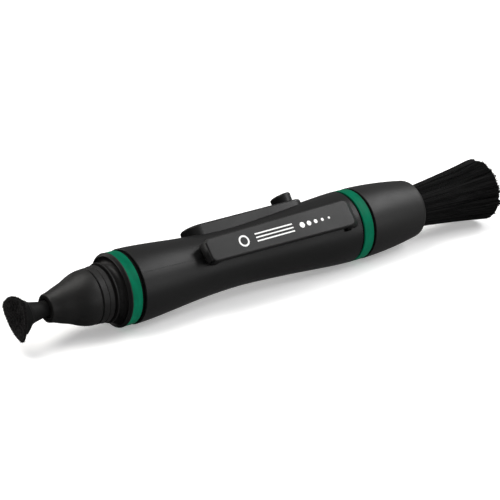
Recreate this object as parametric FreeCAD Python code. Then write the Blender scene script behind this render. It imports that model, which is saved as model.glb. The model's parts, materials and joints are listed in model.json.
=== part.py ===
import FreeCAD, Part
import math
import os

# A lens cleaning pen: an hourglass barrel with a pocket clip and a thumb slider, a flexible tip
# with a triangular cleaning pad at one end and a retractable brush at the other.
#
# Millimetres. Stations along the axis are measured from the shoulder, the front face of the front
# trim ring: negative towards the cleaning tip, positive towards the brush. export() moves every
# piece by SHOULDER_X, so that the origin is on the axis, halfway along the cap spigot's land.
# Features on the barrel's side are built with their outward direction along +Z and then rolled
# about the axis: a roll of 0 degrees faces -Y and 90 degrees faces +Z.

SHOULDER_X = 4.65

# Rolls of the side features
CLIP_ROLL = 41.5
SEAM_ROLL = 38.3
SLIDER_ROLL = 127.6
DETENT_ROLL = SLIDER_ROLL - 180.0
PAD_CORNER_ROLL = 52.5

# Stations of the trim between the casings
FRONT_RING = (0.0, 2.22)
BARREL_FRONT = 2.95
BARREL_REAR = 57.9
REAR_RING = (58.42, 60.9)
COLLAR_FRONT = 61.46
COLLAR_MOUTH = 77.6

# Outer profiles, as (station, radius) that one smooth curve passes through
BARREL_PROFILE = [
    (3.07, 7.63), (9.0, 7.30), (16.0, 6.66), (23.0, 6.20), (29.0, 6.08),
    (37.0, 6.40), (44.0, 6.84), (51.0, 7.38), (57.78, 7.73),
]
COLLAR_PROFILE = [(61.58, 7.77), (67.0, 7.54), (72.0, 7.06), (74.3, 6.76), (76.2, 6.48)]
NOSE_PROFILE = [
    (-14.7, 2.87), (-13.8, 3.08), (-12.6, 3.51), (-10.4, 4.22), (-8.5, 5.04), (-7.0, 5.45), (-5.75, 5.55),
]

# Joints between the casings
BORE_R = 4.85
MOUTH_R = 4.65
FRONT_SLEEVE_R = 6.0
FRONT_SLEEVE_END = 8.0
REAR_SLEEVE_R = 6.2
REAR_SLEEVE_START = 55.0
FIT_GAP = 0.04
RING_R = 7.45
REAR_RING_R = 7.72
EDGE_ROUND = 0.12
GASKET_R = 7.15
REAR_GASKET_R = 7.4

# Cap spigot
SPIGOT_R = 5.6
SPIGOT_LAND = (-5.25, -4.05)
SPIGOT_BORE_R = 4.6
STEP_R = (5.7, 5.75)
SNAP_GROOVE_R = 5.3
SNAP_BEAD_R = 6.02

# Nose, elastomer neck and cleaning pad
NOSE_FRONT = -15.1
NOSE_REAR = -5.5
NOSE_HOLE_R = 1.95
NOSE_CAVITY_R = 3.5
NECK_R = 1.65
NECK_START = -14.9
NECK_END = -18.2
NECK_END_R = 2.07
HOLDER_FRONT = -20.85
FOAM_FRONT = -21.2
PAD_FRONT = -21.6
PAD_REACH = 4.9
PAD_SIDE = 3.8
PAD_CORNER_R = 1.6
HOLDER_INSET = 1.15
FOAM_INSET = 0.35

# Slider hump, its slot and the thumb button
HUMP = (19.9, 50.0)
HUMP_HALF_WIDTH = 3.0
HUMP_TOP = 7.85
HUMP_ROUND = 0.5
BUTTON_S = 46.15
BRUSH_TRAVEL = 23.8
POST_HALF = (1.35, 1.05)
SLOT_GAP = 0.1
BUTTON_BASE = 7.95
BUTTON_R = (2.22, 2.35)
BUTTON_TOP = (9.7, 10.05)
BUTTON_ROUND = 0.45

# Brush carriage inside the bore
CARRIER_R = 4.78
CARRIER = (40.0, 66.0)
CARRIER_WAIST_R = 3.7
FERRULE = (60.5, 74.0)
FERRULE_R = 4.2
FERRULE_BORE_R = 3.75
HAIR_ROOT = 66.0
TUFT_PROFILE = [
    (77.6, 4.40), (82.0, 4.85), (86.0, 5.32), (90.0, 5.80), (94.0, 6.32), (97.0, 6.78), (98.4, 7.02),
]
TUFT_END = [(98.8, 6.9), (99.7, 5.5), (100.5, 3.2), (100.9, 0.0)]
DETENT_CREST_R = 0.75
DETENT_AXIS_H = 4.35
DETENT_WIDTH = 2.4
NOTCH_R = 1.0

# Pocket clip
CLIP_FREE_END = 18.4
CLIP_ROOT = 53.6
CLIP_BACK = 54.6
CLIP_SLOPE = 1.15
CLIP_OUTER = (9.05, 9.5)
CLIP_HALF_WIDTH = (2.5, 2.95)
CLIP_THICKNESS = 1.2
CLIP_CORNER_R = 1.1
CLIP_EDGE_R = 0.35
CLIP_NUB_H = 6.65
CLIP_NUB_LENGTH = 2.0
NUB_LIP = 0.95
NUB_LIP_TOP = (8.2, 8.85)
NUB_LIP_HALF_WIDTH = 2.0
TENON = (53.8, 55.6)
TENON_HALF_WIDTH = 2.0
TENON_BOTTOM = 6.6
ROOT_RECESS = (53.0, 54.9)
RECESS_ACROSS = (2.6, 3.2)
RECESS_BOTTOM = 6.0

# Mould parting seam of the barrel
SEAM_WIDTH = 0.14
SEAM_DEPTH = 0.07

AXIS = FreeCAD.Vector(1, 0, 0)
ORIGIN = FreeCAD.Vector(0, 0, 0)


def point(s, r):
    """A point at a station and a height, in the X-Z plane."""
    return FreeCAD.Vector(s, 0, r)


def rounded_corner(before, corner, after, radius):
    """The two tangent points and the middle point of the arc that rounds a corner."""
    to_before = (before - corner).normalize()
    to_after = (after - corner).normalize()
    half = to_before.getAngle(to_after) / 2
    reach = radius / math.tan(half)
    centre = corner + (to_before + to_after).normalize() * (radius / math.sin(half))
    middle = centre + (corner - centre).normalize() * radius
    return corner + to_before * reach, middle, corner + to_after * reach


def outline_wire(outline):
    """A closed wire in the X-Z plane. An entry is a corner (s, r), a corner with a rounding radius
    (s, r, radius), or a list of points that one smooth curve passes through."""
    ends = [(e[0], e[-1]) if isinstance(e, list) else (e, e) for e in outline]
    starts, finishes, edges = [], [], []
    for i, entry in enumerate(outline):
        if isinstance(entry, list):
            curve = Part.BSplineCurve()
            curve.interpolate([point(*p) for p in entry])
            edges.append(curve.toShape())
            starts.append(point(*entry[0]))
            finishes.append(point(*entry[-1]))
        elif len(entry) == 3:
            before = point(*ends[i - 1][1][:2])
            after = point(*ends[(i + 1) % len(ends)][0][:2])
            a, m, b = rounded_corner(before, point(*entry[:2]), after, entry[2])
            edges.append(Part.Arc(a, m, b).toShape())
            starts.append(a)
            finishes.append(b)
        else:
            edges.append(None)
            starts.append(point(*entry))
            finishes.append(point(*entry))
    joined = []
    for i, edge in enumerate(edges):
        if edge:
            joined.append(edge)
        following = starts[(i + 1) % len(edges)]
        if finishes[i].distanceToPoint(following) > 1e-6:
            joined.append(Part.LineSegment(finishes[i], following).toShape())
    return Part.Wire(joined)


def turned(outline):
    """The solid that an outline makes when it turns about the pen's axis."""
    return Part.Face(outline_wire(outline)).revolve(ORIGIN, AXIS, 360)


def slab(outline, half_width):
    """The solid that a side-view outline makes, half_width to each side."""
    face = Part.Face(outline_wire(outline))
    face.translate(FreeCAD.Vector(0, -half_width, 0))
    return face.extrude(FreeCAD.Vector(0, 2 * half_width, 0))


def block(s0, s1, half_width, h0, h1):
    """A box between two stations and two heights."""
    return Part.makeBox(s1 - s0, 2 * half_width, h1 - h0, FreeCAD.Vector(s0, -half_width, h0))


def cylinder(radius, s0, s1):
    """A cylinder on the pen's axis."""
    return Part.makeCylinder(radius, s1 - s0, point(s0, 0), AXIS)


def obround(s0, s1, half_width, h0, h1):
    """A bar with half-round ends in plan."""
    bar = block(s0 + half_width, s1 - half_width, half_width, h0, h1)
    for s in (s0 + half_width, s1 - half_width):
        bar = bar.fuse(Part.makeCylinder(half_width, h1 - h0, point(s, h0)))
    return bar.removeSplitter()


def rolled(shape, roll):
    """A side feature turned to face its roll angle."""
    return shape.rotated(ORIGIN, AXIS, 90.0 - roll)


def edges_at_height(shape, height):
    """The edges that lie wholly at a height."""
    return [e for e in shape.Edges if abs(e.BoundBox.ZMin - height) + abs(e.BoundBox.ZMax - height) < 0.05]


def ring(span, inner, outer):
    """A trim ring with rounded outer edges."""
    s0, s1 = span
    return turned([(s0, inner), (s0, outer, EDGE_ROUND), (s1, outer, EDGE_ROUND), (s1, inner)])


def gasket(s0, s1, inner, outer):
    """A plain seal ring at the bottom of the groove beside a trim ring."""
    return turned([(s0, inner), (s0, outer), (s1, outer), (s1, inner)])


def barrel_skin(offset=0.0):
    """The barrel's outer form with no bore, shrunk by an offset."""
    profile = [(s, r - offset) for s, r in BARREL_PROFILE]
    front, rear = profile[0], profile[-1]
    return turned([
        (BARREL_FRONT, 0), (BARREL_FRONT, front[1] - 0.12), profile,
        (BARREL_REAR, rear[1] - 0.12), (BARREL_REAR, 0),
    ])


def slider_hump():
    """The flat-topped raised track that the thumb button slides on."""
    hump = obround(HUMP[0], HUMP[1], HUMP_HALF_WIDTH, BORE_R - 1.0, HUMP_TOP)
    return hump.makeFillet(HUMP_ROUND, edges_at_height(hump, HUMP_TOP))


def seam():
    """The parting line's fine groove along the clip's side, ahead of the clip, and opposite it."""
    skin = barrel_skin().cut(barrel_skin(SEAM_DEPTH))
    ahead = block(BARREL_FRONT, TENON[0], SEAM_WIDTH / 2, 5, 9)
    opposite = block(BARREL_FRONT, BARREL_REAR, SEAM_WIDTH / 2, -9, -5)
    return skin.common(rolled(ahead.fuse(opposite), SEAM_ROLL))


def root_recesses():
    """The two small recesses in the barrel beside the clip's root."""
    s0, s1 = ROOT_RECESS
    inner, outer = RECESS_ACROSS
    return block(s0, s1, outer, RECESS_BOTTOM, 9).cut(block(s0, s1, inner, RECESS_BOTTOM, 9))


def barrel():
    """The hourglass casing with its bore, slider track, slot, clip pocket and detent notches."""
    body = barrel_skin().fuse(rolled(slider_hump(), SLIDER_ROLL))
    body = body.cut(cylinder(BORE_R, BARREL_FRONT - 1, BARREL_REAR + 1))
    body = body.cut(cylinder(FRONT_SLEEVE_R + FIT_GAP, BARREL_FRONT - 1, FRONT_SLEEVE_END + 0.1))
    body = body.cut(cylinder(REAR_SLEEVE_R + FIT_GAP, REAR_SLEEVE_START - 0.1, BARREL_REAR + 1))
    half_length = POST_HALF[0] + SLOT_GAP
    half_width = POST_HALF[1] + SLOT_GAP
    slot = obround(BUTTON_S - BRUSH_TRAVEL - half_length, BUTTON_S + half_length, half_width, 0, 9)
    body = body.cut(rolled(slot, SLIDER_ROLL))
    pocket = block(TENON[0] - 0.02, TENON[1] + 0.02, TENON_HALF_WIDTH + 0.02, TENON_BOTTOM - 0.05, 9)
    body = body.cut(rolled(pocket, CLIP_ROLL))
    body = body.cut(rolled(root_recesses(), CLIP_ROLL))
    for s in (BUTTON_S, BUTTON_S - BRUSH_TRAVEL):
        notch = Part.makeCylinder(NOTCH_R, DETENT_WIDTH + 0.4,
                                  FreeCAD.Vector(s, -DETENT_WIDTH / 2 - 0.2, DETENT_AXIS_H),
                                  FreeCAD.Vector(0, 1, 0))
        body = body.cut(rolled(notch, DETENT_ROLL))
    return body.cut(seam())


def cap_spigot():
    """The collar that the cap slides on: a land, a low step with a slight draft, a snap groove and
    bead, the hollow front of the flange, and the long sleeve that carries the front ring into the barrel."""
    land_front, land_back = SPIGOT_LAND
    return turned([
        (-5.4, SPIGOT_BORE_R), (-5.4, SPIGOT_R - 0.15), (land_front, SPIGOT_R), (land_back, SPIGOT_R),
        (-3.97, STEP_R[0], 0.05), (-3.06, STEP_R[1], 0.08),
        (-2.94, SNAP_GROOVE_R), (-2.58, SNAP_GROOVE_R), (-2.5, SNAP_BEAD_R, 0.1), (-2.16, SNAP_BEAD_R, 0.1),
        [(-2.08, 5.6), (-1.4, 5.4), (-0.75, 5.6), (-0.42, 6.15), (-0.46, 6.6), (-0.74, 6.9)],
        (-0.84, 7.0, 0.06), (-0.74, 6.95), (-0.62, 7.02), (-0.16, 7.53, 0.12), (0, 7.48),
        (0, FRONT_SLEEVE_R), (FRONT_SLEEVE_END, FRONT_SLEEVE_R), (FRONT_SLEEVE_END, SPIGOT_BORE_R),
    ])


def nose_cone():
    """The hollow nose, slightly waisted, with a skirt that fits into the cap spigot."""
    skirt_r = SPIGOT_BORE_R - FIT_GAP
    return turned([
        (NOSE_FRONT, NOSE_HOLE_R), (NOSE_FRONT, 2.78, 0.3), NOSE_PROFILE,
        (NOSE_REAR, 5.42), (NOSE_REAR, skirt_r), (-0.6, skirt_r), (-0.6, NOSE_CAVITY_R),
        (-8.8, NOSE_CAVITY_R), (-11.4, NOSE_HOLE_R),
    ])


def neck_plug():
    """The elastomer plug that anchors the neck inside the nose."""
    return turned([
        (NECK_START, 0), (NECK_START, NECK_R), (-13.2, NECK_R), (-12.6, NOSE_HOLE_R - FIT_GAP),
        (-11.3, NOSE_HOLE_R - FIT_GAP), (-8.8, NOSE_CAVITY_R - 0.05), (-4.4, NOSE_CAVITY_R - 0.05), (-4.4, 0),
    ])


def plug_retainer():
    """The pressed-in disc behind the neck plug."""
    return turned([
        (-4.35, 0), (-4.35, NOSE_CAVITY_R - 0.02), (-2.6, NOSE_CAVITY_R - 0.02), (-2.6, 2.4),
        (-3.6, 2.0), (-3.6, 0),
    ])


def flex_neck():
    """The elastomer neck between the nose and the pad holder."""
    return turned([
        (NECK_START, 0), (NECK_START, NECK_R),
        [(-15.6, NECK_R), (-16.2, 1.67), (-17.2, 1.85), (NECK_END, NECK_END_R)], (NECK_END, 0),
    ])


def pad_outline(inset, s):
    """The pad's outline: three corner arcs and three flatter side arcs, each tangent to the next.

    A side arc is centred behind the axis. Its radius less a corner arc's radius equals the distance
    between their centres, which gives that setback."""
    corner_at = PAD_REACH - PAD_CORNER_R
    side_less_corner = PAD_SIDE - PAD_CORNER_R
    setback = (corner_at**2 - side_less_corner**2) / (2 * side_less_corner - corner_at)
    corner_r = PAD_CORNER_R - inset
    side_r = PAD_SIDE + setback - inset

    def at(angle, radius):
        a = math.radians(angle)
        return FreeCAD.Vector(s, -radius * math.cos(a), radius * math.sin(a))

    edges = []
    for corner in range(3):
        angle = PAD_CORNER_ROLL + 120 * corner
        centre = at(angle, corner_at)
        first = at(angle - 60, -setback)
        second = at(angle + 60, -setback)
        start = centre + (centre - first).normalize() * corner_r
        end = centre + (centre - second).normalize() * corner_r
        edges.append(Part.Arc(start, at(angle, corner_at + corner_r), end).toShape())
        next_centre = at(angle + 120, corner_at)
        side_end = next_centre + (next_centre - second).normalize() * corner_r
        middle = at(angle + 60, side_r - setback)
        edges.append(Part.Arc(end, middle, side_end).toShape())
    return Part.Wire(edges)


def pad_layer(inset, front, back):
    """A flat layer of the pad between two stations."""
    return Part.Face(pad_outline(inset, front)).extrude(FreeCAD.Vector(back - front, 0, 0))


def pad_holder():
    """The neck's end, which flares out into the triangular plate that backs the pad."""
    flare = turned([
        (NECK_END, 0), (NECK_END, NECK_END_R), [(-18.7, 2.26), (-19.2, 2.6), (-19.65, 3.1), (-20.1, 4.2)],
        (HOLDER_FRONT, 4.5), (HOLDER_FRONT, 0),
    ])
    return flare.common(pad_layer(HOLDER_INSET, HOLDER_FRONT, NECK_END))


def foam_pad():
    """The thin foam cushion behind the cleaning face."""
    return pad_layer(FOAM_INSET, FOAM_FRONT, HOLDER_FRONT)


def chamois_face():
    """The napped cleaning face."""
    return pad_layer(0.0, PAD_FRONT, FOAM_FRONT)


def rear_collar():
    """The rounded rear casing around the brush, with the sleeve that carries the rear ring."""
    return turned([
        (COLLAR_FRONT, REAR_SLEEVE_R), (COLLAR_FRONT, 7.65), COLLAR_PROFILE,
        (COLLAR_MOUTH, 6.27, 1.2), (COLLAR_MOUTH, 4.8), (COLLAR_MOUTH - 0.15, MOUTH_R),
        (COLLAR_MOUTH - 1.2, MOUTH_R), (COLLAR_MOUTH - 1.8, BORE_R),
        (REAR_SLEEVE_START, BORE_R), (REAR_SLEEVE_START, REAR_SLEEVE_R),
    ])


def clip_height(s):
    """The height of the clip's outer face at a station."""
    free, back = CLIP_OUTER
    return free + (back - free) * (s - CLIP_FREE_END) / (CLIP_BACK - CLIP_FREE_END)


def clip_half_width(s):
    """Half the clip's width at a station."""
    free, back = CLIP_HALF_WIDTH
    return free + (back - free) * (s - CLIP_FREE_END) / (CLIP_BACK - CLIP_FREE_END)


def clip_form():
    """The whole clip in one piece: the nub under the free end, the blade, and the root block that
    slopes down into the barrel, with a rounded rim round the outer face."""
    nub_back = CLIP_FREE_END + CLIP_NUB_LENGTH
    foot_h = 6.8
    foot_end = CLIP_BACK + CLIP_SLOPE * (CLIP_OUTER[1] - foot_h)
    side = slab([
        (CLIP_FREE_END, CLIP_NUB_H), (nub_back, CLIP_NUB_H, 0.5),
        (nub_back + 0.6, clip_height(nub_back) - CLIP_THICKNESS),
        (CLIP_ROOT, clip_height(CLIP_ROOT) - CLIP_THICKNESS), (CLIP_ROOT, foot_h),
        (foot_end, foot_h), (CLIP_BACK, CLIP_OUTER[1]), (CLIP_FREE_END, CLIP_OUTER[0]),
    ], 4)
    free_half = clip_half_width(CLIP_FREE_END)
    end_half = clip_half_width(foot_end)
    plan = Part.Face(outline_wire([
        (CLIP_FREE_END, free_half, CLIP_CORNER_R), (foot_end, end_half),
        (foot_end, -end_half), (CLIP_FREE_END, -free_half, CLIP_CORNER_R),
    ]))
    form = side.common(plan.rotated(ORIGIN, AXIS, -90).extrude(FreeCAD.Vector(0, 0, 12)))
    corners = [e for e in form.Edges if e.BoundBox.XMin > CLIP_BACK - 0.1 and e.BoundBox.YLength < 0.5
               and e.BoundBox.ZLength > 1]
    form = form.makeFillet(CLIP_CORNER_R, corners)
    rim = [e for e in form.Edges if e.BoundBox.ZMin > CLIP_OUTER[0] - 0.1]
    return form.makeFillet(CLIP_EDGE_R, rim)


def nub_lip():
    """The nub's lip, which slopes forward past the blade's free end and is cut back below."""
    front = CLIP_FREE_END - NUB_LIP
    back = CLIP_FREE_END + 1.2
    low, high = NUB_LIP_TOP
    side = slab([
        (CLIP_FREE_END - 0.1, CLIP_NUB_H, 0.2), (back, CLIP_NUB_H), (back, high),
        (CLIP_FREE_END - 0.1, high, 0.2), (front, low, 0.25), (front + 0.15, low - 0.5, 0.2),
    ], 4)
    plan = Part.Face(outline_wire([
        (front, NUB_LIP_HALF_WIDTH, 0.7), (back, NUB_LIP_HALF_WIDTH),
        (back, -NUB_LIP_HALF_WIDTH), (front, -NUB_LIP_HALF_WIDTH, 0.7),
    ]))
    return side.common(plan.rotated(ORIGIN, AXIS, -90).extrude(FreeCAD.Vector(0, 0, 12)))


def pocket_clip():
    """The springy blade of the clip, with the nub under its free end."""
    form = clip_form().fuse(nub_lip()).removeSplitter()
    return rolled(form.common(block(0, CLIP_ROOT, 5, 5, 12)), CLIP_ROLL)


def clip_foot(casing):
    """The clip's root block and its tenon in the barrel's pocket."""
    root = rolled(clip_form().common(block(CLIP_ROOT, 60, 5, 5, 12)), CLIP_ROLL)
    tenon = block(TENON[0], TENON[1], TENON_HALF_WIDTH, TENON_BOTTOM, 8.2)
    return root.cut(barrel_skin()).fuse(rolled(tenon, CLIP_ROLL)).cut(casing).removeSplitter()


def slide_button():
    """The round thumb button with its sloping top, socketed for the carrier's post."""
    base_r, top_r = BUTTON_R
    low, high = BUTTON_TOP
    button = Part.makeCone(base_r, top_r, high + 0.5 - BUTTON_BASE, point(BUTTON_S, BUTTON_BASE))
    middle = (low + high) / 2
    rise = 4 * (high - low) / (2 * top_r)
    below_top = slab([
        (BUTTON_S - 4, BUTTON_BASE - 1), (BUTTON_S - 4, middle - rise),
        (BUTTON_S + 4, middle + rise), (BUTTON_S + 4, BUTTON_BASE - 1),
    ], 4)
    button = button.common(below_top)
    rim = [e for e in button.Edges if e.BoundBox.ZMin > low - 0.4]
    button = button.makeFillet(BUTTON_ROUND, rim)
    socket = obround(BUTTON_S - POST_HALF[0] - 0.02, BUTTON_S + POST_HALF[0] + 0.02, POST_HALF[1] + 0.02,
                     BUTTON_BASE - 1, 9.05)
    return rolled(button.cut(socket), SLIDER_ROLL)


def brush_carrier():
    """The carriage that slides in the bore: two guide lands, the button's post, a pocket for the
    detent spring and a socket for the ferrule."""
    start, end = CARRIER
    body = turned([
        (start, 0), (start, CARRIER_R, 0.4), (52.5, CARRIER_R), (53.3, CARRIER_WAIST_R),
        (59.0, CARRIER_WAIST_R), (59.8, CARRIER_R), (end, CARRIER_R),
        (end, FERRULE_R + 0.02), (FERRULE[0] - 0.02, FERRULE_R + 0.02), (FERRULE[0] - 0.02, 0),
    ])
    post = obround(BUTTON_S - POST_HALF[0], BUTTON_S + POST_HALF[0], POST_HALF[1], 2, 9)
    body = body.fuse(rolled(post, SLIDER_ROLL))
    pocket = block(BUTTON_S - 5.2, BUTTON_S + 5.2, DETENT_WIDTH / 2 + 0.15, 3.6, 6)
    return body.cut(rolled(pocket, DETENT_ROLL)).removeSplitter()


def detent_spring():
    """The bowed leaf spring with the crest that clicks into the barrel's notches."""
    leaf = slab([
        (BUTTON_S - 5.0, 3.62), (BUTTON_S - 5.0, 3.95), [(BUTTON_S - 4.6, 3.98), (BUTTON_S, 4.5),
                                                         (BUTTON_S + 4.6, 3.98)],
        (BUTTON_S + 5.0, 3.95), (BUTTON_S + 5.0, 3.62), [(BUTTON_S + 4.6, 3.66), (BUTTON_S, 4.18),
                                                         (BUTTON_S - 4.6, 3.66)],
    ], DETENT_WIDTH / 2)
    crest = Part.makeCylinder(DETENT_CREST_R, DETENT_WIDTH,
                              FreeCAD.Vector(BUTTON_S, -DETENT_WIDTH / 2, DETENT_AXIS_H),
                              FreeCAD.Vector(0, 1, 0))
    crest = crest.common(block(BUTTON_S - 2, BUTTON_S + 2, DETENT_WIDTH, 4.3, 6))
    return rolled(leaf.fuse(crest).removeSplitter(), DETENT_ROLL)


def brush_ferrule():
    """The metal cup that grips the hair, with two crimped grooves."""
    start, end = FERRULE
    grooves = []
    for s in (69.0, 71.4):
        grooves += [(s - 0.5, FERRULE_R), (s, FERRULE_R - 0.22), (s + 0.5, FERRULE_R)]
    return turned([
        (start, 0), (start, FERRULE_R, 0.2), *grooves, (end, FERRULE_R, 0.15), (end, FERRULE_BORE_R),
        (start + 0.6, FERRULE_BORE_R), (start + 0.6, 0),
    ])


def tuft_plug():
    """The resin plug that holds the roots of the hair in the ferrule."""
    return cylinder(FERRULE_BORE_R - 0.1, FERRULE[0] + 0.6, HAIR_ROOT)


def brush_tuft():
    """The plain outer form of the hair: straight in the ferrule, then flared, with a domed end."""
    root_r = FERRULE_BORE_R - 0.1
    return turned([
        (HAIR_ROOT, 0), (HAIR_ROOT, root_r), (FERRULE[1] - 0.3, root_r), TUFT_PROFILE, TUFT_END,
    ])


def export(node, shape):
    """Move a piece so that the origin is on the spigot's land, and write it."""
    solids = shape.Solids
    if len(solids) != 1 or not shape.isValid():
        raise ValueError(f"{node}: {len(solids)} solids, valid {shape.isValid()}")
    piece = solids[0].translated(FreeCAD.Vector(SHOULDER_X, 0, 0))
    piece.exportStep(f"parts/{node}.step")
    print(f"{node}: {piece.Volume:.1f} mm3")


def main():
    os.makedirs("parts", exist_ok=True)
    casing = barrel()
    export("barrel", casing)
    export("front_ring", ring(FRONT_RING, FRONT_SLEEVE_R + FIT_GAP, RING_R))
    export("front_gasket", gasket(FRONT_RING[1], BARREL_FRONT, FRONT_SLEEVE_R + FIT_GAP, GASKET_R))
    export("cap_spigot", cap_spigot())
    export("nose_cone", nose_cone())
    export("neck_plug", neck_plug())
    export("plug_retainer", plug_retainer())
    export("flex_neck", flex_neck())
    export("pad_holder", pad_holder())
    export("foam_pad", foam_pad())
    export("chamois_face", chamois_face())
    export("rear_gasket_inner", gasket(BARREL_REAR, REAR_RING[0], REAR_SLEEVE_R + FIT_GAP, REAR_GASKET_R))
    export("rear_ring", ring(REAR_RING, REAR_SLEEVE_R + FIT_GAP, REAR_RING_R))
    export("rear_gasket_outer", gasket(REAR_RING[1], COLLAR_FRONT, REAR_SLEEVE_R + FIT_GAP, REAR_GASKET_R))
    export("rear_collar", rear_collar())
    export("pocket_clip", pocket_clip())
    export("clip_foot", clip_foot(casing))
    export("slide_button", slide_button())
    export("brush_carrier", brush_carrier())
    export("detent_spring", detent_spring())
    export("brush_ferrule", brush_ferrule())
    export("tuft_plug", tuft_plug())
    export("brush_tuft", brush_tuft())


main()
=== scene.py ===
import json
import math
import random

import bmesh
import bpy
from mathutils import Matrix, Vector, noise


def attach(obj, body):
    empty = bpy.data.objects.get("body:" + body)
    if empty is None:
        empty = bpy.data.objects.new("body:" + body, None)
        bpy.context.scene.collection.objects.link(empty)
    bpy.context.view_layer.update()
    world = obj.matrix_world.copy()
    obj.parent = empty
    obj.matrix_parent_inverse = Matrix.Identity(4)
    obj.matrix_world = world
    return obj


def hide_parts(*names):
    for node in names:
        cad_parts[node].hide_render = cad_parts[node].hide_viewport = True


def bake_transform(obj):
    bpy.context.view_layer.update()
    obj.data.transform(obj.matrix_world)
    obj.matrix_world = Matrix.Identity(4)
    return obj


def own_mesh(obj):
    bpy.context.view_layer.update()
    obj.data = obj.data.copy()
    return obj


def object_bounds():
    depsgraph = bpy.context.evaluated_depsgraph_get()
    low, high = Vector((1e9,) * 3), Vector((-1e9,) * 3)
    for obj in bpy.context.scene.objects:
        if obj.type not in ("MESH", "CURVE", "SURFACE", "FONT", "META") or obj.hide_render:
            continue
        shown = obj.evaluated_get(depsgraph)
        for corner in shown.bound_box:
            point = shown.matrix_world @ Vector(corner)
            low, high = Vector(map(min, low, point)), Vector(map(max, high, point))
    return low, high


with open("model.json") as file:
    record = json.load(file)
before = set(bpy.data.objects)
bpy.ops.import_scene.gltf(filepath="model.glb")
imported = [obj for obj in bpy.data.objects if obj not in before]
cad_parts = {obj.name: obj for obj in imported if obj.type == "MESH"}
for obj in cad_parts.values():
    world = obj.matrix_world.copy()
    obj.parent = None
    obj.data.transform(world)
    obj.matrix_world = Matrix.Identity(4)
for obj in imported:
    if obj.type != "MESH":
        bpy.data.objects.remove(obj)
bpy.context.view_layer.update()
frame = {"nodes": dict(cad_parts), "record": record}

# A lens cleaning pen. The turned and moulded pieces keep their CAD shapes and get materials here.
# The clip, neck, cleaning pad and brush hair are modelled here and replace their CAD nodes.
#
# Metres, in the row frame. Stations run along the axis in millimetres from the shoulder, the front
# face of the front trim ring, as in the CAD model. A roll of 0 degrees faces -Y, and 90 faces +Z.

MM = 0.001
SHOULDER_X = 4.65

# Clip
CLIP_ROLL = 41.5
CLIP_FREE_END = 18.4
CLIP_BACK = 54.6
CLIP_OUTER = (9.05, 9.5)
CLIP_BEND = (54.3, 49.8)
BEND_STEP = 0.3

# Print on the clip
PRINT_LIFT = 0.012
PRINT_DEPTH = 0.03
RING_S = 27.0
RING_R = (0.86, 1.22)
STRIPE_STATIONS = (30.0, 35.0, 39.5)
STRIPE_PITCH = 0.78
STRIPE_HALF_WIDTH = 0.14
DOTS = 5
FIRST_DOT_S = 41.8
DOT_PITCH = 1.75
FIRST_DOT_R = 0.62
DOT_SHRINK = 0.09

# Neck. Its curve is in (distance in front of the shoulder, radius) points.
NECK_R = 1.65
NECK_CURVE = [(14.9, NECK_R), (15.6, NECK_R), (16.2, 1.67), (17.2, 1.85), (18.2, 2.07)]
NECK_START = -14.9
NECK_SPLIT = -16.45
NECK_END = -18.2
NECK_OVERLAP = 0.25
PITCH_BEND = (NECK_START, -16.3)
YAW_BEND = (-16.6, NECK_END)

# Cleaning pad
PAD_CORNER_ROLL = 52.5
PAD_REACH = 4.9
PAD_SIDE = 3.8
PAD_CORNER_R = 1.6
PAD_FRONT = -21.6
FOAM_FRONT = -21.2
HOLDER_FRONT = -20.85
FOAM_INSET = 0.35
PAD_RIM_INSET = 1.2
PAD_MIDDLE_INSET = 3.8
PAD_POINTS_AROUND = 216
FACE_DISH = 0.07
FACE_EDGE_R = 0.22
NAP_FIBRES = 5200
NAP_FIBRE_R = 0.03

# Brush
HAIR_START = 72.5
TUFT = [
    (72.5, 3.62), (77.6, 4.40), (82.0, 4.85), (86.0, 5.32), (90.0, 5.80), (94.0, 6.32), (97.0, 6.78),
    (98.4, 7.02), (101.0, 7.3),
]
HAIR_END = 100.2
HAIR_LOOSE_FROM = 84
END_HAIR_START = 97.0
END_DOME = 0.7
END_TILT = 0.45
END_TILT_ROLL = 115
CORE_SHARE = 0.925
CORE_SHORTER = 1.0
CORE_DOME = 0.4
RIB_HEIGHT = 0.012
RIBS_AROUND = 96
LOCKS = 12
HALF_LOCK = 180 / LOCKS
OUTER_CLUMPS = 14
INNER_CLUMPS = 26
CLUMP_PULL = 0.22
OUTER_STRANDS = 190
INNER_STRANDS = 420
OUTER_STRAND_R = 0.052
INNER_STRAND_R = 0.062
STRAND_SWAY = 0.09
STRAND_TWIST = 2.0

# Camera and studio, in metres and degrees
CAMERA_PLACE = (-0.15979, -0.25869, 0.12644)
CAMERA_AZIMUTH = -37.453
CAMERA_ELEVATION = 21.139
CAMERA_LENS = 122.4
FLOOR_HALF_SIZE = 3.0
FLOOR_GLOW = 0.3
LIT_POINT = (0.045, 0.0, 0.0)
SURROUND_TOWARDS = (0.82, -0.42, 0.38)
SURROUND_STRENGTH = (0.02, 0.45)

nodes = frame["nodes"]
scene = bpy.context.scene


# ---------------------------------------------------------------- geometry helpers

def at(s, r=0.0, roll=0.0):
    """The point at a station, a distance from the axis and a roll."""
    a = math.radians(roll)
    return Vector(((s + SHOULDER_X) * MM, -r * math.cos(a) * MM, r * math.sin(a) * MM))


def linked(name, data):
    """A new object of the scene with this data."""
    obj = bpy.data.objects.new(name, data)
    scene.collection.objects.link(obj)
    return obj


def aim(obj, place, direction):
    """Put a light or camera at a place and point it along a direction, level."""
    rotation = Vector(direction).to_track_quat("-Z", "Y").to_matrix().to_4x4()
    obj.matrix_world = Matrix.Translation(place) @ rotation


def shade_smooth(mesh, sharp_from=None):
    """Smooth shading, but for edges sharper than an angle in degrees."""
    mesh.polygons.foreach_set("use_smooth", [True] * len(mesh.polygons))
    if sharp_from:
        mesh.set_sharp_from_angle(angle=math.radians(sharp_from))


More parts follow.
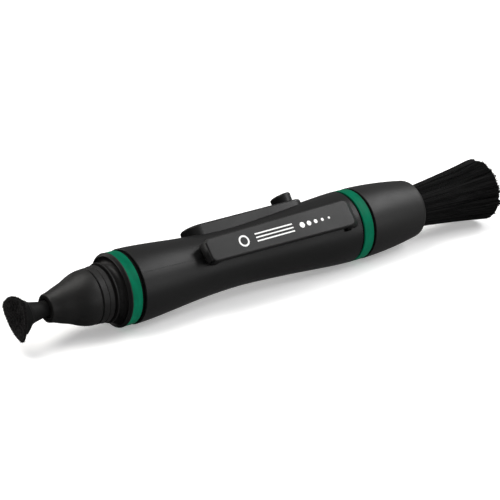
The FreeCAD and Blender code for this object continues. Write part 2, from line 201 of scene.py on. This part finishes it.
def away_from_axis(roll):
    """The direction away from the axis at a roll, a millimetre long."""
    return at(0, 1, roll) - at(0, 0, roll)


def new_object(name, verts, faces, smooth=True):
    """A mesh object from points and faces."""
    mesh = bpy.data.meshes.new(name)
    mesh.from_pydata(verts, [], faces)
    mesh.validate()
    mesh.update()
    if smooth:
        shade_smooth(mesh)
    return linked(name, mesh)


def face_outward(obj):
    """Make a closed mesh's normals point outward."""
    bm = bmesh.new()
    bm.from_mesh(obj.data)
    bmesh.ops.recalc_face_normals(bm, faces=bm.faces)
    bm.to_mesh(obj.data)
    bm.free()


def between(points, x):
    """The value at x of a smooth curve through points with rising x."""
    i = 0
    while i < len(points) - 2 and x > points[i + 1][0]:
        i += 1
    (x0, y0), (x1, y1) = points[i], points[i + 1]

    def slope(j):
        a = points[max(j - 1, 0)]
        b = points[min(j + 1, len(points) - 1)]
        return (b[1] - a[1]) / (b[0] - a[0])

    t = (x - x0) / (x1 - x0)
    span = x1 - x0
    return (y0 * (2 * t**3 - 3 * t**2 + 1) + slope(i) * span * (t**3 - 2 * t**2 + t)
            + y1 * (3 * t**2 - 2 * t**3) + slope(i + 1) * span * (t**3 - t**2))


def lathe(name, profile, around):
    """A closed turned form from (station, radius) points, whose ends lie on the axis."""
    verts, faces = [at(*profile[0])], []
    for s, r in profile[1:-1]:
        for k in range(around):
            verts.append(at(s, r, 360 * k / around))
    verts.append(at(*profile[-1]))
    rings = len(profile) - 2
    last = len(verts) - 1
    for k in range(around):
        n = (k + 1) % around
        faces.append((0, 1 + n, 1 + k))
        for j in range(rings - 1):
            a = 1 + j * around
            faces.append((a + k, a + n, a + around + n, a + around + k))
        a = 1 + (rings - 1) * around
        faces.append((a + k, a + n, last))
    obj = new_object(name, verts, faces)
    face_outward(obj)
    return obj


# ---------------------------------------------------------------- materials

class Shader:
    """A principled material with object-space texture nodes."""

    def __init__(self, name, **sockets):
        self.material = bpy.data.materials.new(name)
        self.material.use_nodes = True
        self.tree = self.material.node_tree
        self.bsdf = self.tree.nodes["Principled BSDF"]
        for label, value in sockets.items():
            self.bsdf.inputs[label.replace("_", " ")].default_value = value
        self.coords = self.tree.nodes.new("ShaderNodeTexCoord").outputs["Object"]

    def node(self, kind, **values):
        """A new node, with values for its properties or its input sockets."""
        made = self.tree.nodes.new("ShaderNode" + kind)
        for label, value in values.items():
            if hasattr(made, label):
                setattr(made, label, value)
            else:
                made.inputs[label.replace("_", " ")].default_value = value
        return made

    def link(self, source, target):
        """Join an output socket to an input socket."""
        self.tree.links.new(source, target)

    def stretched(self, scale):
        """Object coordinates scaled by a vector."""
        mapping = self.node("Mapping")
        mapping.inputs["Scale"].default_value = scale
        self.link(self.coords, mapping.inputs["Vector"])
        return mapping.outputs["Vector"]

    def noise(self, scale, detail=3.0, roughness=0.55, vector=None):
        """Fractal noise on the object's coordinates, or on a vector."""
        made = self.node("TexNoise", Scale=scale, Detail=detail, Roughness=roughness)
        self.link(vector or self.coords, made.inputs["Vector"])
        return made.outputs["Fac"]

    def spread(self, fac, low, high):
        """A texture's middle range turned into numbers from low to high."""
        made = self.node("MapRange", From_Min=0.3, From_Max=0.7, To_Min=low, To_Max=high)
        self.link(fac, made.inputs["Value"])
        return made.outputs["Result"]

    def colours(self, fac, stops):
        """A texture turned into colours by (position, colour) stops."""
        ramp = self.node("ValToRGB")
        elements = ramp.color_ramp.elements
        while len(elements) < len(stops):
            elements.new(0.5)
        for element, (position, colour) in zip(elements, stops):
            element.position = position
            element.color = (*colour, 1.0)
        self.link(fac, ramp.inputs["Fac"])
        return ramp.outputs["Color"]

    def bump(self, height, distance, before=None):
        """A bumped normal, on top of an earlier one if that is given."""
        made = self.node("Bump", Strength=1.0, Distance=distance)
        self.link(height, made.inputs["Height"])
        if before:
            self.link(before, made.inputs["Normal"])
        return made.outputs["Normal"]

    def to(self, source, socket):
        """Drive one of the material's own sockets."""
        self.link(source, self.bsdf.inputs[socket])


def shade(colour, factor):
    """The colour made darker or lighter by a factor."""
    return tuple(c * factor for c in colour)


def moulded_plastic(name, colour, roughness, specular, grain=0.006):
    """Spark-eroded moulded plastic: a fine grain, faint flow streaks along the pen and handling
    marks in the gloss."""
    m = Shader(name, Specular_IOR_Level=specular)
    grain_fac = m.noise(3200, 2.0, 0.6)
    streak_fac = m.noise(160, 3.0, 0.5, m.stretched((0.22, 1.0, 1.0)))
    marks_fac = m.noise(75, 5.0, 0.6)
    m.to(m.colours(streak_fac, [(0.3, shade(colour, 0.86)), (0.7, shade(colour, 1.14))]), "Base Color")
    rough = m.node("Math", operation="ADD")
    m.link(m.spread(marks_fac, roughness - 0.05, roughness + 0.05), rough.inputs[0])
    m.link(m.spread(grain_fac, -0.03, 0.03), rough.inputs[1])
    m.to(rough.outputs["Value"], "Roughness")
    m.to(m.bump(grain_fac, grain * MM), "Normal")
    return m.material


def band_plastic(name, colour):
    """The trim rings' satin green plastic, with faint swirl round the ring."""
    m = Shader(name, Specular_IOR_Level=0.03)
    swirl = m.noise(420, 4.0, 0.6, m.stretched((2.2, 0.6, 0.6)))
    grain_fac = m.noise(2600, 2.0, 0.6)
    m.to(m.colours(swirl, [(0.28, shade(colour, 0.78)), (0.5, colour), (0.72, shade(colour, 1.2))]),
         "Base Color")
    m.to(m.spread(swirl, 0.34, 0.46), "Roughness")
    m.to(m.bump(grain_fac, 0.004 * MM), "Normal")
    return m.material


def rubber(name, colour, roughness, specular):
    """Matte elastomer with fine pits and dusty variation."""
    m = Shader(name, Specular_IOR_Level=specular)
    dust = m.noise(300, 5.0, 0.65)
    pits = m.noise(2400, 3.0, 0.6)
    m.to(m.colours(dust, [(0.3, shade(colour, 0.8)), (0.7, shade(colour, 1.25))]), "Base Color")
    m.to(m.spread(dust, roughness - 0.06, roughness + 0.06), "Roughness")
    m.to(m.bump(pits, 0.012 * MM), "Normal")
    return m.material


def foam(name, colour):
    """Open foam: round cells, with painted shade darkening their hollows."""
    m = Shader(name, Specular_IOR_Level=0.15)
    cells = m.node("TexVoronoi", Scale=5200.0, Randomness=1.0)
    m.link(m.coords, cells.inputs["Vector"])
    # painted shade: the colour is darkest in the cells' hollows, where the bump is lowest
    m.to(m.colours(cells.outputs["Distance"], [(0.1, shade(colour, 0.4)), (0.6, shade(colour, 1.3))]),
         "Base Color")
    m.to(m.spread(m.noise(900), 0.85, 0.98), "Roughness")
    m.to(m.bump(cells.outputs["Distance"], 0.05 * MM), "Normal")
    return m.material


def suede(name, colour):
    """Napped cleaning face: mottled, fibrous and lightly sheened."""
    m = Shader(name, Specular_IOR_Level=0.08, Sheen_Weight=0.04, Sheen_Roughness=0.6)
    mottle = m.noise(1500, 5.0, 0.7)
    fibre = m.noise(5200, 3.0, 0.7)
    m.to(m.colours(mottle, [(0.32, shade(colour, 0.45)), (0.5, colour), (0.68, shade(colour, 1.9))]),
         "Base Color")
    m.to(m.spread(fibre, 0.86, 1.0), "Roughness")
    m.to(m.bump(fibre, 0.03 * MM, before=m.bump(mottle, 0.05 * MM)), "Normal")
    return m.material


def hair(name, colour):
    """Goat-like brush hair: streaks along the strands, with each strand's own tone."""
    m = Shader(name, Specular_IOR_Level=0.07)
    tone = m.node("Attribute", attribute_name="tone")
    streak = m.noise(2200, 4.0, 0.65, m.stretched((0.16, 1.0, 1.0)))
    both = m.node("Math", operation="MULTIPLY_ADD")
    m.link(tone.outputs["Fac"], both.inputs[0])
    both.inputs[1].default_value = 0.6
    m.link(m.spread(streak, 0.0, 0.4), both.inputs[2])
    m.to(m.colours(both.outputs["Value"], [(0.1, shade(colour, 0.4)), (0.5, colour),
                                           (0.95, shade(colour, 3.2))]), "Base Color")
    m.to(m.spread(streak, 0.42, 0.62), "Roughness")
    m.to(m.bump(streak, 0.01 * MM), "Normal")
    return m.material


def metal(name, colour, roughness, lines):
    """Drawn metal with fine lines."""
    m = Shader(name, Metallic=1.0)
    line_fac = m.noise(1800, 3.0, 0.6, m.stretched(lines))
    m.to(m.colours(line_fac, [(0.3, shade(colour, 0.8)), (0.7, colour)]), "Base Color")
    m.to(m.spread(line_fac, roughness - 0.06, roughness + 0.08), "Roughness")
    m.to(m.bump(line_fac, 0.004 * MM), "Normal")
    return m.material


def resin(name, colour):
    """Cast resin with clouding and small bubbles."""
    m = Shader(name, Specular_IOR_Level=0.5)
    cloud = m.noise(500, 4.0, 0.6)
    m.to(m.colours(cloud, [(0.3, shade(colour, 0.6)), (0.7, shade(colour, 1.5))]), "Base Color")
    m.to(m.spread(cloud, 0.12, 0.3), "Roughness")
    m.to(m.bump(m.noise(1600, 2.0), 0.01 * MM), "Normal")
    return m.material


def print_ink(name):
    """Pad-printed white ink, slightly thin and uneven."""
    m = Shader(name, Specular_IOR_Level=0.3)
    cover = m.noise(1900, 4.0, 0.6)
    m.to(m.colours(cover, [(0.3, (0.70, 0.70, 0.70)), (0.6, (0.83, 0.83, 0.82))]), "Base Color")
    m.to(m.spread(cover, 0.45, 0.6), "Roughness")
    m.to(m.bump(cover, 0.003 * MM), "Normal")
    return m.material


BLACK = (0.0055, 0.0055, 0.0056)
CASING = (0.0066, 0.0064, 0.0063)
LOOKS = {
    "black_abs": moulded_plastic("black_abs", BLACK, 0.4, 0.2),
    "black_abs_satin": moulded_plastic("black_abs_satin", BLACK, 0.48, 0.25, 0.009),
    "grey_abs": moulded_plastic("grey_abs", CASING, 0.48, 0.22, 0.004),
    "green_band": band_plastic("green_band", (0.0, 0.1, 0.051)),
    "seal_rubber": rubber("seal_rubber", (0.0012, 0.0012, 0.0012), 0.8, 0.08),
    "neck_elastomer": rubber("neck_elastomer", (0.0042, 0.0042, 0.0042), 0.6, 0.09),
    "pad_foam": foam("pad_foam", (0.004, 0.004, 0.004)),
    "chamois": suede("chamois", (0.0042, 0.0036, 0.0038)),
    "carrier_plastic": moulded_plastic("carrier_plastic", (0.03, 0.03, 0.032), 0.5, 0.4),
    "spring_steel": metal("spring_steel", (0.55, 0.55, 0.56), 0.3, (0.15, 1.0, 1.0)),
    "ferrule_metal": metal("ferrule_metal", (0.60, 0.60, 0.61), 0.26, (1.0, 0.15, 0.15)),
    "resin": resin("resin", (0.05, 0.045, 0.035)),
    "brush_hair": hair("brush_hair", (0.0013, 0.0013, 0.0013)),
}


def wear(obj, slot_name, look=None):
    """Give a new piece its material, the slot's own unless another is named."""
    obj.data.materials.clear()
    obj.data.materials.append(LOOKS[look or slot_name])


def dress_cad_nodes():
    """Give every CAD node the look that goes with its record slot."""
    for part in frame["record"]["subparts"]:
        obj = nodes[part["node"]]
        if not obj.material_slots:
            obj.data.materials.append(None)
        for material_slot in obj.material_slots:
            material_slot.material = LOOKS[part["material_slot"]]


# ---------------------------------------------------------------- clip

def clip_height(s):
    """The height of the clip's outer face above the axis at a station."""
    free, back = CLIP_OUTER
    return free + (back - free) * (s - CLIP_FREE_END) / (CLIP_BACK - CLIP_FREE_END)


def welded_copy(node):
    """A copy of a CAD node's mesh with its split edges joined."""
    bm = bmesh.new()
    bm.from_mesh(nodes[node].data)
    bmesh.ops.remove_doubles(bm, verts=bm.verts, dist=1e-7)
    mesh = bpy.data.meshes.new(node + "_copy")
    bm.to_mesh(mesh)
    bm.free()
    return linked(node + "_copy", mesh)


def union_mesh(first_node, second_node):
    """One mesh of two CAD nodes that meet."""
    first = welded_copy(first_node)
    second = welded_copy(second_node)
    union = first.modifiers.new("union", "BOOLEAN")
    union.operation = "UNION"
    union.solver = "EXACT"
    union.object = second
    mesh = bpy.data.meshes.new_from_object(first.evaluated_get(bpy.context.evaluated_depsgraph_get()))
    bpy.data.objects.remove(first)
    bpy.data.objects.remove(second)
    return mesh


def build_clip():
    """The blade and its root as the one moulding they are, with cuts all along its bend."""
    mesh = union_mesh("pocket_clip", "clip_foot")
    root, tip = CLIP_BEND
    bm = bmesh.new()
    bm.from_mesh(mesh)
    for k in range(int((root - tip) / BEND_STEP) + 1):
        everything = bm.verts[:] + bm.edges[:] + bm.faces[:]
        bmesh.ops.bisect_plane(bm, geom=everything, dist=1e-8, plane_co=at(tip + BEND_STEP * k),
                               plane_no=(1, 0, 0))
    bm.to_mesh(mesh)
    bm.free()
    shade_smooth(mesh, sharp_from=32)
    obj = linked("clip_moulding", mesh)
    wear(obj, "black_abs", "black_abs_satin")
    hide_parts("pocket_clip", "clip_foot")
    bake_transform(obj)


def clip_face(s, across, lift):
    """A point just above the clip's outer face."""
    a = math.radians(CLIP_ROLL)
    out = Vector((0, -math.cos(a), math.sin(a)))
    side = Vector((0, math.sin(a), math.cos(a)))
    return at(s) + (out * (clip_height(s) + lift) + side * across) * MM


def build_print():
    """A plain printed pattern in place of a name: a ring, three pinstripes and a row of dots."""
    top, bottom = PRINT_LIFT, PRINT_LIFT - PRINT_DEPTH
    verts, faces = [], []

    def strip(pairs, closed):
        """A thin printed patch between two rows of (station, across) points."""
        first = len(verts)
        for inner, outer in pairs:
            for (s, across), height in ((inner, top), (outer, top), (outer, bottom), (inner, bottom)):
                verts.append(clip_face(s, across, height))
        count = len(pairs)
        for i in range(count if closed else count - 1):
            a = first + 4 * i
            b = first + 4 * ((i + 1) % count)
            for k in range(4):
                n = (k + 1) % 4
                faces.append((a + k, a + n, b + n, b + k))
        if not closed:
            faces.append((first, first + 1, first + 2, first + 3))
            a = first + 4 * (count - 1)
            faces.append((a + 3, a + 2, a + 1, a))

    def annulus(s, inner_r, outer_r, points):
        """A printed ring about a station on the clip's middle line."""
        turns = [math.tau * k / points for k in range(points)]
        strip([((s + inner_r * math.cos(turn), inner_r * math.sin(turn)),
                (s + outer_r * math.cos(turn), outer_r * math.sin(turn))) for turn in turns], True)

    annulus(RING_S, *RING_R, 48)
    for across in (-STRIPE_PITCH, 0.0, STRIPE_PITCH):
        low, high = across - STRIPE_HALF_WIDTH, across + STRIPE_HALF_WIDTH
        strip([((s, low), (s, high)) for s in STRIPE_STATIONS], False)
    for k in range(DOTS):
        annulus(FIRST_DOT_S + DOT_PITCH * k, 0.04, FIRST_DOT_R - DOT_SHRINK * k, 28)
    obj = new_object("clip_print", verts, faces, smooth=False)
    face_outward(obj)
    obj.data.materials.append(print_ink("print_ink"))
    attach(obj, "clip")


# ---------------------------------------------------------------- neck

def build_neck():
    """The elastomer neck in two lengths, split between the spans of its two crossing bends. The first
    runs a little way under the second."""

    def profile(s_from, s_to, under, steps):
        """The neck's outline between two stations, a little under its surface."""
        points = [(s_from, 0.0)]
        for k in range(steps + 1):
            s = s_from + (s_to - s_from) * k / steps
            points.append((s, between(NECK_CURVE, -s) - under))
        return points + [(s_to, 0.0)]

    body = profile(NECK_START, NECK_SPLIT, 0.0, 20)[:-1]
    tail = profile(NECK_SPLIT, NECK_SPLIT - NECK_OVERLAP, 0.03, 3)[1:]
    root = lathe("neck_root", body + tail, 72)
    flare = profile(NECK_SPLIT, NECK_END, 0.0, 22)[:-1]
    waist = lathe("neck_waist", flare + [(NECK_END - 0.1, 2.0), (NECK_END - 0.1, 0.0)], 72)
    for piece, bodies, bend in ((root, ("casing", "neck"), PITCH_BEND), (waist, ("neck", "tip"), YAW_BEND)):
        shade_smooth(piece.data, sharp_from=40)
        wear(piece, "neck_elastomer")
        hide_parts("flex_neck")
        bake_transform(piece)


# ---------------------------------------------------------------- cleaning pad

def pad_edge(angle, inset):
    """The pad outline's distance from the axis at a roll angle: corner arcs and side arcs, each
    tangent to the next."""
    corner_at = PAD_REACH - PAD_CORNER_R
    side_less_corner = PAD_SIDE - PAD_CORNER_R
    setback = (corner_at**2 - side_less_corner**2) / (2 * side_less_corner - corner_at)
    turn = math.radians((angle - PAD_CORNER_ROLL + 60) % 120 - 60)
    tangent_roll = math.atan2(corner_at * math.sin(math.radians(60)),
                              corner_at * math.cos(math.radians(60)) + setback)
    side_r = PAD_SIDE + setback - inset
    joint = (side_r * math.sin(tangent_roll), side_r * math.cos(tangent_roll) - setback)
    switch = math.radians(60) - math.atan2(joint[0], joint[1])
    if abs(turn) < switch:
        radius, centre, off = PAD_CORNER_R - inset, corner_at, abs(turn)
    else:
        radius, centre, off = side_r, -setback, math.radians(60) - abs(turn)
    return centre * math.cos(off) + math.sqrt(radius**2 - (centre * math.sin(off))**2)


def pad_form(name, rings):
    """A closed layer of the pad from (inset, station) rings, with its middle closed at both ends.
    Rings near the edge keep the outline's shape, and those further in shrink towards the axis."""
    around = PAD_POINTS_AROUND
    verts, faces = [], []
    for inset, s in rings:
        rim_inset = min(inset, PAD_RIM_INSET)
        share = 1 - (inset - rim_inset) / (PAD_MIDDLE_INSET - PAD_RIM_INSET)
        for k in range(around):
            angle = 360 * k / around
            verts.append(at(s, pad_edge(angle, rim_inset) * share, angle))
    for j in range(len(rings) - 1):
        for k in range(around):
            n = (k + 1) % around
            a = j * around
            faces.append((a + k, a + n, a + around + n, a + around + k))
    front, back = len(verts), len(verts) + 1
    verts += [at(rings[0][1]), at(rings[-1][1])]
    a = (len(rings) - 1) * around
    for k in range(around):
        n = (k + 1) % around
        faces.append((front, n, k))
        faces.append((back, a + k, a + n))
    obj = new_object(name, verts, faces)
    face_outward(obj)
    return obj


def roughen(obj, scale, amount, behind):
    """Push the points of a mesh along their normals by a fractal noise, but for those behind a
    station."""
    mesh = obj.data
    limit = at(behind).x
    normals = [v.normal.copy() for v in mesh.vertices]
    for v, n in zip(mesh.vertices, normals):
        if v.co.x <= limit:
            v.co += n * amount * MM * noise.fractal(v.co * scale, 0.7, 2.0, 4)
    mesh.update()


def build_face():
    """The napped face: slightly dished, rounded over at its edge and roughened."""
    rings = []
    edge_start = 0.25
    for k in range(26):
        share = k / 25
        inset = 3.75 + (edge_start - 3.75) * share
        rings.append((inset, PAD_FRONT + FACE_DISH * (1 - share) ** 0.5))
    for k in range(1, 9):
        a = math.radians(90 * k / 8)
        rings.append((edge_start - FACE_EDGE_R * math.sin(a), PAD_FRONT + FACE_EDGE_R * (1 - math.cos(a))))
    rings += [(0.03, PAD_FRONT + 0.32), (0.10, PAD_FRONT + 0.38), (0.3, FOAM_FRONT),
              (PAD_RIM_INSET, FOAM_FRONT), (3.7, FOAM_FRONT)]
    face = pad_form("cleaning_face", rings)
    roughen(face, 1900, 0.1, behind=FOAM_FRONT - 0.06)
    wear(face, "chamois")
    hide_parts("chamois_face")
    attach(face, "tip")


def build_cushion():
    """The foam behind the face, bulging a little at its edge."""
    front_half = [(3.7, 0.0), (0.6, 0.0), (FOAM_INSET + 0.06, 0.02), (FOAM_INSET - 0.03, 0.1)]
    rings = [(inset, FOAM_FRONT + depth) for inset, depth in front_half]
    rings.append((FOAM_INSET - 0.06, (FOAM_FRONT + HOLDER_FRONT) / 2))
    rings += [(inset, HOLDER_FRONT - depth) for inset, depth in reversed(front_half)]
    cushion = pad_form("foam_cushion", rings)
    wear(cushion, "pad_foam")
    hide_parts("foam_pad")
    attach(cushion, "tip")


def build_nap():
    """The face's loose fibres: two in three stand on its front, and the third on its rim."""
    random.seed(11)
    verts, faces = [], []
    for k in range(NAP_FIBRES):
        angle = random.uniform(0, 360)
        edge = pad_edge(angle, 0.05)
        on_rim = k % 3 == 0
        if on_rim:
            root = at(PAD_FRONT + random.uniform(0.05, 0.34), edge - 0.02, angle)
            away, scatter, longest = away_from_axis(angle).normalized(), 0.45, 0.45
        else:
            root = at(PAD_FRONT + 0.06, (edge - 0.05) * math.sqrt(random.random()), angle)
            away, scatter, longest = Vector((-1.0, 0, 0)), 0.8, 0.3
        direction = away + Vector([random.gauss(0, scatter) for _ in range(3)])
        tip = root + direction.normalized() * random.uniform(0.12, longest) * MM
        side = direction.cross(Vector((0.3, 0.5, 0.8))).normalized() * NAP_FIBRE_R * MM
        other = direction.cross(side).normalized() * NAP_FIBRE_R * MM
        first = len(verts)
        verts += [root + side, root - side * 0.5 + other, root - side * 0.5 - other, tip]
        faces += [(first, first + 2, first + 1), (first, first + 1, first + 3),
                  (first + 1, first + 2, first + 3), (first + 2, first, first + 3)]
    nap = new_object("cleaning_nap", verts, faces, smooth=False)
    wear(nap, "chamois")
    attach(nap, "tip")


# ---------------------------------------------------------------- brush

def tuft_radius(s):
    """The radius of the tuft's outline at a station."""
    return between(TUFT, s)


class Lock:
    """One of the tuft's locks of hair: a wedge-shaped core and the strands over it and on its end."""

    def __init__(self, index):
        self.index = index
        self.middle = 360 * index / LOCKS
        self.verts, self.faces, self.tones = [], [], []

    def core(self, stations, across):
        """A closed wedge under the strands, ribbed like combed hair."""
        end = HAIR_END - CORE_SHORTER
        rows = []
        for i in range(stations + 1):
            s = HAIR_START + (end - HAIR_START) * i / stations
            rows.append([(s, 1.0, k / across) for k in range(across + 1)])
        for share in (0.8, 0.55, 0.3):
            rows.append([(end, share, k / across) for k in range(across + 1)])
        first = len(self.verts)
        for row in rows:
            for s, share, k in row:
                angle = self.middle + HALF_LOCK * (2 * k - 1)
                ribs = 1 + RIB_HEIGHT * math.sin(math.radians(angle) * RIBS_AROUND + s * 0.1)
                r = tuft_radius(s) * CORE_SHARE * share * ribs
                drop = END_DOME * (r / 7.0) ** 2
                self.verts.append(at(min(s, end + CORE_DOME - drop), r, angle))
        for i in range(len(rows) - 1):
            for k in range(across):
                a = first + i * (across + 1) + k
                self.faces.append((a, a + 1, a + across + 2, a + across + 1))
        axis_start = len(self.verts)
        self.verts += [at(HAIR_START), at(end + CORE_DOME)]
        last = first + (len(rows) - 1) * (across + 1)
        for k in range(across):
            self.faces.append((first + k + 1, first + k, axis_start))
            self.faces.append((last + k, last + k + 1, axis_start + 1))
        sides = [first + i * (across + 1) for i in range(len(rows))]
        self.faces.append(tuple(sides) + (axis_start + 1, axis_start))
        self.faces.append(tuple(v + across for v in reversed(sides)) + (axis_start, axis_start + 1))
        self.tones += [0.12] * (len(self.verts) - first)

    def strand(self, share, angle, start, steps, radius, clump):
        """One strand at a share of the tuft's radius. Near the end it leans towards its clump,
        whose strands stop at about the same length."""
        clump_share, clump_angle, shortening = clump
        end = HAIR_END - END_DOME * share**2 - shortening - 0.35 * random.random()
        end -= END_TILT * share * math.cos(math.radians(angle - END_TILT_ROLL))
        tone = random.uniform(0.0, 1.0)
        wave = random.uniform(0, math.tau)
        sway = random.gauss(0, STRAND_SWAY)
        twist = random.gauss(0, STRAND_TWIST)
        roll = random.uniform(0, math.tau)
        first = len(self.verts)
        for i in range(steps + 1):
            t = i / steps
            s = start + (end - start) * t
            late = max(0.0, (s - HAIR_LOOSE_FROM) / (HAIR_END - HAIR_LOOSE_FROM))
            r = tuft_radius(s) * share + sway * math.sin(wave + 5 * t) * late
            mixed = CLUMP_PULL * late**4
            r = r * (1 - mixed) + tuft_radius(s) * clump_share * mixed
            a = angle + (twist + 0.7 * math.sin(wave + 9 * t)) * late
            a = a * (1 - mixed) + clump_angle * mixed
            centre = at(s, r, a)
            w = radius * (1 - 0.2 * t) * MM
            for k in range(3):
                b = roll + math.tau * k / 3
                self.verts.append(centre + Vector((0, math.cos(b) * w, math.sin(b) * w)))
                self.tones.append(tone)
        for i in range(steps):
            a = first + 3 * i
            for k in range(3):
                n = (k + 1) % 3
                self.faces.append((a + k, a + n, a + 3 + n, a + 3 + k))
        self.faces.append((first + 2, first + 1, first))
        last = first + 3 * steps
        self.faces.append((last, last + 1, last + 2))

    def random_roll(self, reach):
        """A random roll within the lock, or past its edges if the reach is over 1."""
        return self.middle + HALF_LOCK * random.uniform(-reach, reach)

    def grow(self):
        """Long strands over the core and short ones on its end. A clump is the share of the radius
        and the roll that its strands lean to, and their shortening."""
        outer = [(0.93 + 0.07 * random.random(), self.random_roll(1.15), random.uniform(0.0, 0.9))
                 for _ in range(OUTER_CLUMPS)]
        inner = [(math.sqrt(random.random()) * 0.93, self.random_roll(1), random.uniform(0.0, 0.8))
                 for _ in range(INNER_CLUMPS)]
        for _ in range(OUTER_STRANDS):
            angle = self.random_roll(1.12)
            clump = min(outer, key=lambda c: abs(c[1] - angle))
            self.strand(CORE_SHARE + 0.065 * random.random(), angle, HAIR_START, 9, OUTER_STRAND_R, clump)
        for _ in range(INNER_STRANDS):
            share = math.sqrt(random.random()) * 0.95
            angle = self.random_roll(1)
            clump = min(inner, key=lambda c: math.hypot(c[0] - share, math.radians(c[1] - angle) * share))
            self.strand(share, angle, END_HAIR_START, 3, INNER_STRAND_R, clump)

    def finish(self):
        """Make the lock's object, which rides the brush."""
        obj = new_object(f"hair_lock_{self.index + 1:02d}", self.verts, self.faces)
        tone = obj.data.attributes.new("tone", "FLOAT", "POINT")
        tone.data.foreach_set("value", self.tones)
        shade_smooth(obj.data, sharp_from=75)
        wear(obj, "brush_hair")
        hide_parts("brush_tuft")
        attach(obj, "brush")
        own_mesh(obj)


def build_tuft():
    """The whole brush, lock by lock."""
    random.seed(5)
    for index in range(LOCKS):
        lock = Lock(index)
        lock.core(stations=26, across=14)
        lock.grow()
        lock.finish()


# ---------------------------------------------------------------- stage, lights and camera

def build_stage():
    """A plain pale floor under the pen, lit a little from below like a light table."""
    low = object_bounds()[0][2]
    size = FLOOR_HALF_SIZE
    corners = [(x, y, low) for x, y in ((-size, -size), (size, -size), (size, size), (-size, size))]
    floor = new_object("floor", corners, [(0, 1, 2, 3)], smooth=False)
    m = Shader("floor_paper", Specular_IOR_Level=0.1)
    m.bsdf.inputs["Roughness"].default_value = 0.9
    m.bsdf.inputs["Emission Color"].default_value = (1.0, 1.0, 1.0, 1.0)
    m.bsdf.inputs["Emission Strength"].default_value = FLOOR_GLOW
    paper = m.noise(900, 3.0)
    m.to(m.colours(paper, [(0.3, (0.86, 0.86, 0.86)), (0.7, (0.88, 0.88, 0.88))]), "Base Color")
    floor.data.materials.append(m.material)
    floor.visible_glossy = False


def softbox(name, place, width, height, watts, colour=(1.0, 1.0, 1.0)):
    """A rectangular area light that faces the middle of the pen."""
    light = bpy.data.lights.new(name, "AREA")
    light.shape = "RECTANGLE"
    light.size = width
    light.size_y = height
    light.energy = watts
    light.color = colour
    aim(linked(name, light), place, Vector(LIT_POINT) - Vector(place))


def build_surround():
    """A dim surround, brightest above the brush's end."""
    world = bpy.data.worlds.new("studio")
    world.use_nodes = True
    tree = world.node_tree
    background = tree.nodes["Background"]
    background.inputs["Color"].default_value = (1.0, 1.0, 1.0, 1.0)
    direction = tree.nodes.new("ShaderNodeTexCoord")
    towards_bright = tree.nodes.new("ShaderNodeVectorMath")
    towards_bright.operation = "DOT_PRODUCT"
    towards_bright.inputs[1].default_value = SURROUND_TOWARDS
    dimmest, brightest = SURROUND_STRENGTH
    fall_off = tree.nodes.new("ShaderNodeMapRange")
    for label, value in (("From Min", -0.4), ("From Max", 1.0), ("To Min", dimmest), ("To Max", brightest)):
        fall_off.inputs[label].default_value = value
    tree.links.new(direction.outputs["Generated"], towards_bright.inputs[0])
    tree.links.new(towards_bright.outputs["Value"], fall_off.inputs["Value"])
    tree.links.new(fall_off.outputs["Result"], background.inputs["Strength"])
    scene.world = world


def build_lights():
    """A band light from the brush's end, a broad overhead light, a low front fill and a warm rim
    light from behind."""
    build_surround()
    softbox("band", (0.6, -0.2, 0.5), 0.7, 0.3, 5.2)
    softbox("overhead", (-0.12, 0.20, 0.74), 0.8, 0.45, 5.6, (1.0, 0.985, 0.96))
    softbox("front", (0.42, -0.8, 0.12), 0.9, 0.4, 2.3)
    softbox("rim", (-0.3, 0.72, 0.26), 0.9, 0.2, 1.6, (1.0, 0.97, 0.94))


def build_camera():
    """The camera at the fitted viewpoint, level, with a long lens."""
    data = bpy.data.cameras.new("camera")
    data.lens = CAMERA_LENS
    data.sensor_width = 36.0
    data.clip_start = 0.01
    data.clip_end = 20.0
    azimuth, elevation = math.radians(CAMERA_AZIMUTH), math.radians(CAMERA_ELEVATION)
    forward = Vector((-math.sin(azimuth) * math.cos(elevation), math.cos(azimuth) * math.cos(elevation),
                      -math.sin(elevation)))
    scene.camera = linked("camera", data)
    aim(scene.camera, CAMERA_PLACE, forward)


scene.view_settings.view_transform = "Standard"
build_camera()
dress_cad_nodes()
build_clip()
build_print()
build_neck()
build_face()
build_cushion()
build_nap()
build_tuft()
build_lights()
build_stage()
